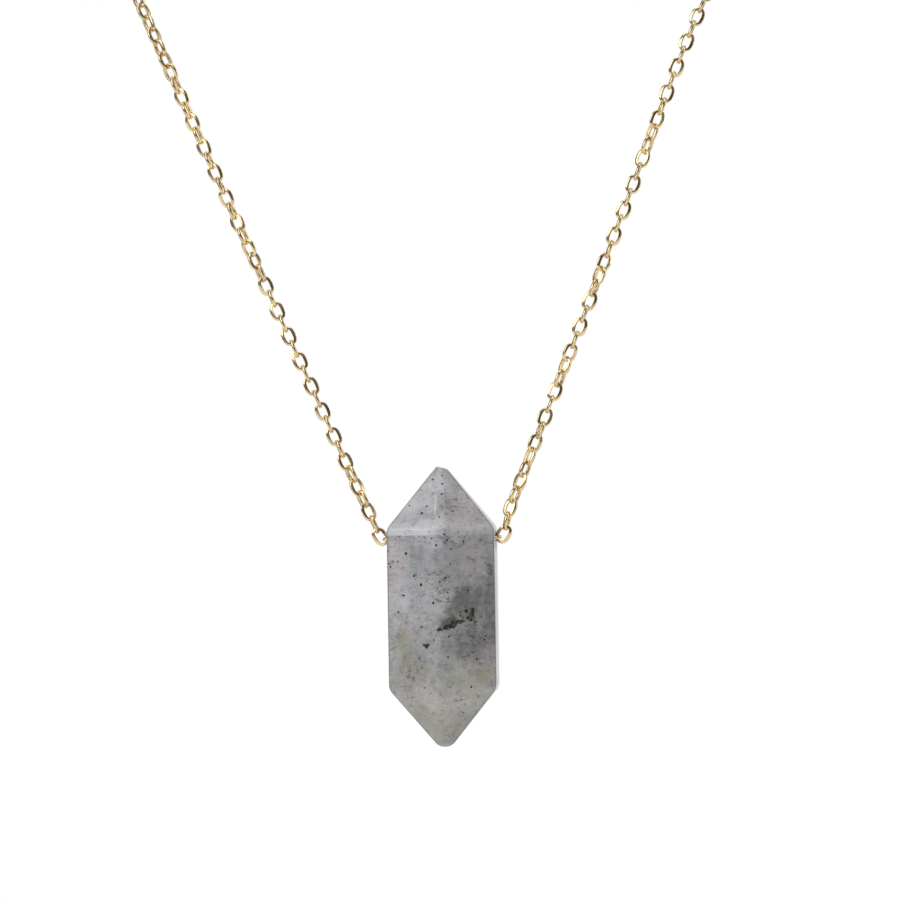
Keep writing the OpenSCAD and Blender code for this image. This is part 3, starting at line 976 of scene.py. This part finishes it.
class PENDANT_OT_clasp(bpy.types.Operator):
    """Make the plain closed clasp with its eye, and the ring that it joins"""
    bl_idname = "pendant.clasp"
    bl_label = "Clasp and end ring"

    def execute(self, context):
        look = context.scene.pendant_metal
        material = gold_finish("clasp", look)
        upright = np.array([[1, 0, 0], [0, 0, -1], [0, 1, 0]])
        beside_ring = [(CLASP_WIDTH + EYE_WIDTH - EYE_WIRE) / 2, 0, 0]
        ring = ring_points(CLASP_WIDTH, CLASP_TUBE) @ upright.T
        eye = ring_points(EYE_WIDTH, EYE_WIRE, 48, 16) @ upright.T + beside_ring
        ring_piece("clasp_ring", "clasp", [ring, eye], material)
        low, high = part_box("end_ring")
        centre = np.array((low + high) / 2) / MM
        end_ring = ring_points(END_RING_WIDTH, END_RING_WIRE) + centre
        ring_piece("clasp_end_ring", "end_ring", [end_ring], material)
        return {"FINISHED"}


def camera_axes():
    """Right, up and back of the camera: back is swung from the front towards the viewer's
    right, and up leans to that side and is square to it."""
    back = Vector((math.sin(CAMERA_SWING), -math.cos(CAMERA_SWING), 0))
    up = Vector((math.sin(CAMERA_LEAN), 0, math.cos(CAMERA_LEAN)))
    up = (up - back * up.dot(back)).normalized()
    return up.cross(back), up, back


def place_camera(scene, distance):
    """Adds the camera, at a distance from the point that it looks at."""
    right, up, back = camera_axes()
    camera = bpy.data.objects.new("camera", bpy.data.cameras.new("camera"))
    camera.data.lens = LENS
    camera.data.sensor_width = FILM_WIDTH
    camera.data.clip_start, camera.data.clip_end = NEAR_AND_FAR
    turn = Matrix((right, up, back)).transposed().to_4x4()
    camera.matrix_world = Matrix.Translation(AIM + back * distance) @ turn
    scene.collection.objects.link(camera)
    scene.camera = camera


def lay_sheets():
    """Adds the floor, and the dark card behind the camera, which is seen only mirrored,
    as dark flashes on the gold."""
    points, faces = flat_sheet()
    floor = new_piece("floor", points + FLOOR_MIDDLE, faces)
    floor.data.materials.append(plain_finish("floor_paper", (0.86, 0.86, 0.86), 0.8))
    card = new_piece("dark_card", points * CARD_SHARES, faces)
    right, up, back = camera_axes()
    card_turn = (-back).to_track_quat("Z", "Y").to_matrix().to_4x4()
    rightwards, upwards, backwards = CARD_PLACE
    place = AIM + right * rightwards + up * upwards + back * backwards
    card.data.transform(Matrix.Translation(place) @ card_turn)
    card.data.materials.append(plain_finish("dark_cloth", (0.03, 0.022, 0.015), 0.9))
    for ray in ("camera", "diffuse", "transmission", "volume_scatter", "shadow"):
        setattr(card, f"visible_{ray}", False)


def area_light(name, azimuth, elevation, distance, width, height, power):
    """Soft light that faces the lights' aim from a direction, in degrees from the front."""
    across = math.radians(azimuth)
    rise = math.radians(elevation)
    level = math.cos(rise)
    way = Vector((math.sin(across) * level, -math.cos(across) * level, math.sin(rise)))
    light = bpy.data.lights.new(name, "AREA")
    light.shape = "RECTANGLE"
    light.size = width
    light.size_y = height
    light.energy = power
    lamp = bpy.data.objects.new(name, light)
    lamp.location = LIGHTS_AIM + way * distance
    lamp.rotation_euler = way.to_track_quat("Z", "Y").to_euler()
    lamp.visible_camera = False
    bpy.context.scene.collection.objects.link(lamp)


def light_world(scene, look):
    """White backdrop for the camera. All else gets the ambient light, weaker where it is
    mirrored, which rises to the full white behind the pendant."""
    world = bpy.data.worlds.new("soft_white")
    world.use_nodes = True
    scene.world = world
    sky = Finish(world.node_tree)
    seen = sky.node("ShaderNodeLightPath", output=0)
    mirrored = sky.node("ShaderNodeLightPath", output=3)
    way = sky.node("ShaderNodeTexCoord")
    behind = sky.node("ShaderNodeSeparateXYZ", {}, {0: way}, 1).ramp(0.1, 0.85)
    ahead = look.ambient - mirrored * (look.ambient - look.mirrored_ambient)
    strength = (ahead + behind * (1.0 - ahead)).most(seen)
    light = sky.node("ShaderNodeBackground", {}, {
        "Color": opaque(look.backdrop_colour), "Strength": strength})
    sky.node("ShaderNodeOutputWorld", {}, {"Surface": light})


class PENDANT_OT_studio(bpy.types.Operator):
    """Make the floor, the dark card, the soft lights, the backdrop and the camera"""
    bl_idname = "pendant.studio"
    bl_label = "Studio"

    def execute(self, context):
        look = context.scene.pendant_studio
        scene = context.scene
        scene.view_settings.view_transform = "Standard"
        place_camera(scene, look.camera_distance)
        lay_sheets()
        for *light, share in LIGHTS:
            area_light(*light, look.key_power * share)
        light_world(scene, look)
        return {"FINISHED"}


class PENDANT_PT_sidebar(bpy.types.Panel):
    """Panel that lists the looks and the pieces"""
    bl_label = "Crystal point pendant"
    bl_idname = "PENDANT_PT_sidebar"
    bl_space_type = "VIEW_3D"
    bl_region_type = "UI"
    bl_category = "Pendant"

    def draw(self, context):
        for group, operators in (
            ("pendant_stone", ("pendant.stone",)),
            ("pendant_metal", ("pendant.chain", "pendant.clasp")),
            ("pendant_studio", ("pendant.studio",)),
        ):
            box = self.layout.box()
            settings = getattr(context.scene, group)
            for name in settings.__annotations__:
                box.prop(settings, name)
            for operator in operators:
                box.operator(operator)


CLASSES = (
    StoneLook, MetalLook, StudioLook, PENDANT_OT_stone, PENDANT_OT_chain,
    PENDANT_OT_clasp, PENDANT_OT_studio, PENDANT_PT_sidebar,
)


def register():
    """Registers the classes and gives each scene its three looks."""
    for part in CLASSES:
        bpy.utils.register_class(part)
    bpy.types.Scene.pendant_stone = bpy.props.PointerProperty(type=StoneLook)
    bpy.types.Scene.pendant_metal = bpy.props.PointerProperty(type=MetalLook)
    bpy.types.Scene.pendant_studio = bpy.props.PointerProperty(type=StudioLook)


def unregister():
    """Takes back what register adds."""
    del bpy.types.Scene.pendant_studio
    del bpy.types.Scene.pendant_metal
    del bpy.types.Scene.pendant_stone
    for part in reversed(CLASSES):
        bpy.utils.unregister_class(part)


def main():
    """Makes the studio and the pieces."""
    register()
    bpy.ops.pendant.studio()
    bpy.ops.pendant.stone()
    bpy.ops.pendant.chain()
    bpy.ops.pendant.clasp()


if __name__ == "__main__":
    main()
